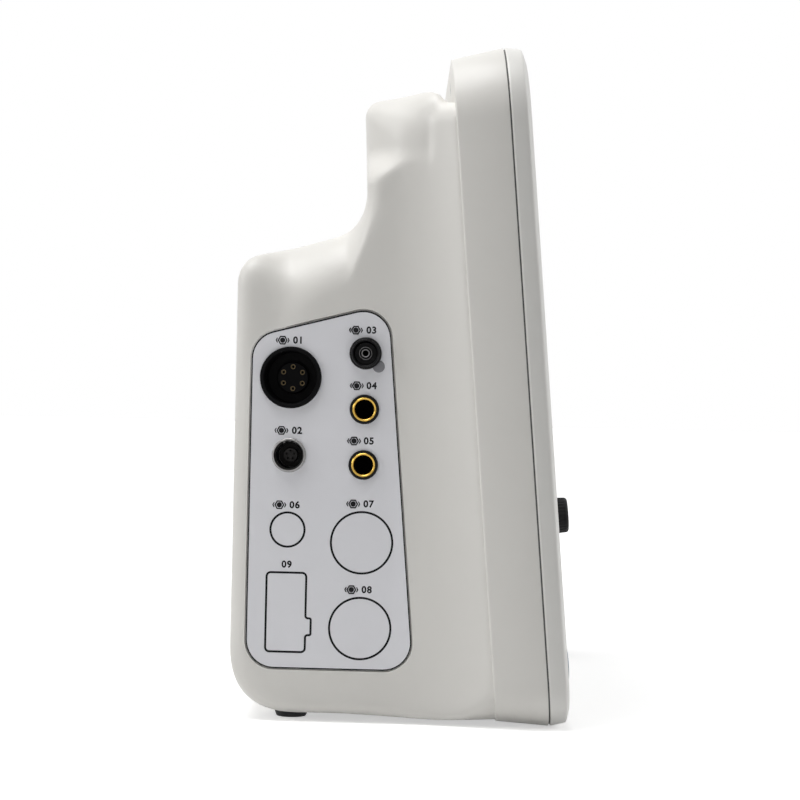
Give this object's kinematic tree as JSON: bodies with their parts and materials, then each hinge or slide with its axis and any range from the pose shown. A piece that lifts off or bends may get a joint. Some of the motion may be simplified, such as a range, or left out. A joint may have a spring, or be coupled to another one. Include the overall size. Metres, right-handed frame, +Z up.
{
  "type": "patient monitor",
  "caption": "Bench-top patient monitor with a leaning screen panel, rotary knob, front keys, a stepped rear housing with a grip pocket, and a side plate of measuring ports.",
  "frame": {"origin": "centre of the bounding box's bottom, on the surface that the feet stand on", "axes": "+Z up, the screen faces -Y, and the measuring ports are on the -X side, which is the user's left"},
  "size_m": [0.315, 0.1498, 0.2669],
  "materials": {
    "housing": "fine spark-eroded texture, off-white",
    "bezel": "fine texture, off-white",
    "seal": "dark",
    "screen_glass": "dark glossy cover over a display that is off",
    "module_metal": "zinc-plated sheet",
    "board": "solder mask",
    "brass": "machined",
    "lamp": "frosted lens, unlit",
    "lens": "small clear lenses, unlit",
    "key": "silicone, grey-blue",
    "encoder": "dark",
    "knob": "near-black soft-touch",
    "ivory_plastic": "natural moulding",
    "plate": "pale blue-grey printed plate",
    "black_plastic": "black glossy moulding",
    "port_metal": "nickel-plated",
    "gold": "gold-plated",
    "pump_metal": "satin",
    "tube": "translucent silicone",
    "inlet_plastic": "black moulding",
    "fuse_glass": "small glass tubes",
    "battery_skin": "shrink wrap",
    "speaker_black": "paper cone and frame",
    "foot_rubber": "black rubber"
  },
  "bodies": {
    "monitor": {"rear_housing": "housing", "front_bezel": "bezel", "front_seal": "seal", "display_glass": "screen_glass", "lcd_module": "module_metal", "chassis_plate": "module_metal", "main_board": "board", "board_standoffs": "brass", "key_board": "board", "power_board": "board", "alarm_lamp": "lamp", "indicator_lenses": "lens", "encoder_body": "encoder", "port_plate": "plate", "ecg_socket": "black_plastic", "ecg_contacts": "brass", "oxi_socket": "port_metal", "oxi_insert": "black_plastic", "cuff_socket": "black_plastic", "cuff_nozzle": "port_metal", "temp_nut_1": "black_plastic", "temp_nut_2": "black_plastic", "temp_jack_1": "gold", "temp_jack_2": "gold", "parameter_board": "board", "cuff_pump": "pump_metal", "cuff_valve": "encoder", "air_tube": "tube", "power_supply": "board", "power_inlet": "inlet_plastic", "inlet_pins": "module_metal", "ground_stud": "brass", "network_jack": "port_metal", "mount_inserts": "brass", "battery_bay": "housing", "battery_pack": "battery_skin", "hinge_pin": "module_metal", "speaker": "speaker_black", "feet_rear": "foot_rubber", "feet_front": "foot_rubber", "housing_screws": "module_metal"},
    "key_1": {"key_1": "key"},
    "key_2": {"key_2": "key"},
    "key_3": {"key_3": "key"},
    "key_4": {"key_4": "key"},
    "key_5": {"key_5": "key"},
    "key_6": {"key_6": "key"},
    "power_key": {"power_key": "key"},
    "encoder_press": {"encoder_plunger": "ivory_plastic"},
    "knob_turn": {"knob": "knob", "encoder_shaft": "module_metal"},
    "battery_cover": {"battery_door": "housing"},
    "fuse_holder": {"fuse_drawer": "inlet_plastic", "fuses": "fuse_glass"}
  },
  "joints": [
    {"name": "key_1_press", "type": "slide", "parent": "monitor", "child": "key_1", "axis": [0, 0.9962, -0.0872], "range_m": [0, 0.0008], "stiffness_N_per_m": 1500, "springref_m": -0.0004},
    {"name": "key_2_press", "type": "slide", "parent": "monitor", "child": "key_2", "axis": [0, 0.9962, -0.0872], "range_m": [0, 0.0008], "stiffness_N_per_m": 1500, "springref_m": -0.0004},
    {"name": "key_3_press", "type": "slide", "parent": "monitor", "child": "key_3", "axis": [0, 0.9962, -0.0872], "range_m": [0, 0.0008], "stiffness_N_per_m": 1500, "springref_m": -0.0004},
    {"name": "key_4_press", "type": "slide", "parent": "monitor", "child": "key_4", "axis": [0, 0.9962, -0.0872], "range_m": [0, 0.0008], "stiffness_N_per_m": 1500, "springref_m": -0.0004},
    {"name": "key_5_press", "type": "slide", "parent": "monitor", "child": "key_5", "axis": [0, 0.9962, -0.0872], "range_m": [0, 0.0008], "stiffness_N_per_m": 1500, "springref_m": -0.0004},
    {"name": "key_6_press", "type": "slide", "parent": "monitor", "child": "key_6", "axis": [0, 0.9962, -0.0872], "range_m": [0, 0.0008], "stiffness_N_per_m": 1500, "springref_m": -0.0004},
    {"name": "power_key_press", "type": "slide", "parent": "monitor", "child": "power_key", "axis": [0, 0.9962, -0.0872], "range_m": [0, 0.0008], "stiffness_N_per_m": 1500, "springref_m": -0.0004},
    {"name": "encoder_push", "type": "slide", "parent": "monitor", "child": "encoder_press", "axis": [0, 0.9962, -0.0872], "range_m": [0, 0.0008], "stiffness_N_per_m": 3000, "springref_m": -0.0005},
    {"name": "knob_spin", "type": "hinge", "parent": "encoder_press", "child": "knob_turn", "pos_m": [0.1315, -0.055, 0.07001], "axis": [0, -0.9962, 0.0872], "continuous": true},
    {"name": "battery_door_swing", "type": "hinge", "parent": "monitor", "child": "battery_cover", "pos_m": [0.088, 0.07254, 0.036], "axis": [-1, 0, 0], "range_deg": [0, 90]},
    {"name": "fuse_drawer_pull", "type": "slide", "parent": "monitor", "child": "fuse_holder", "axis": [0, 1, 0], "range_m": [0, 0.012]}
  ]
}
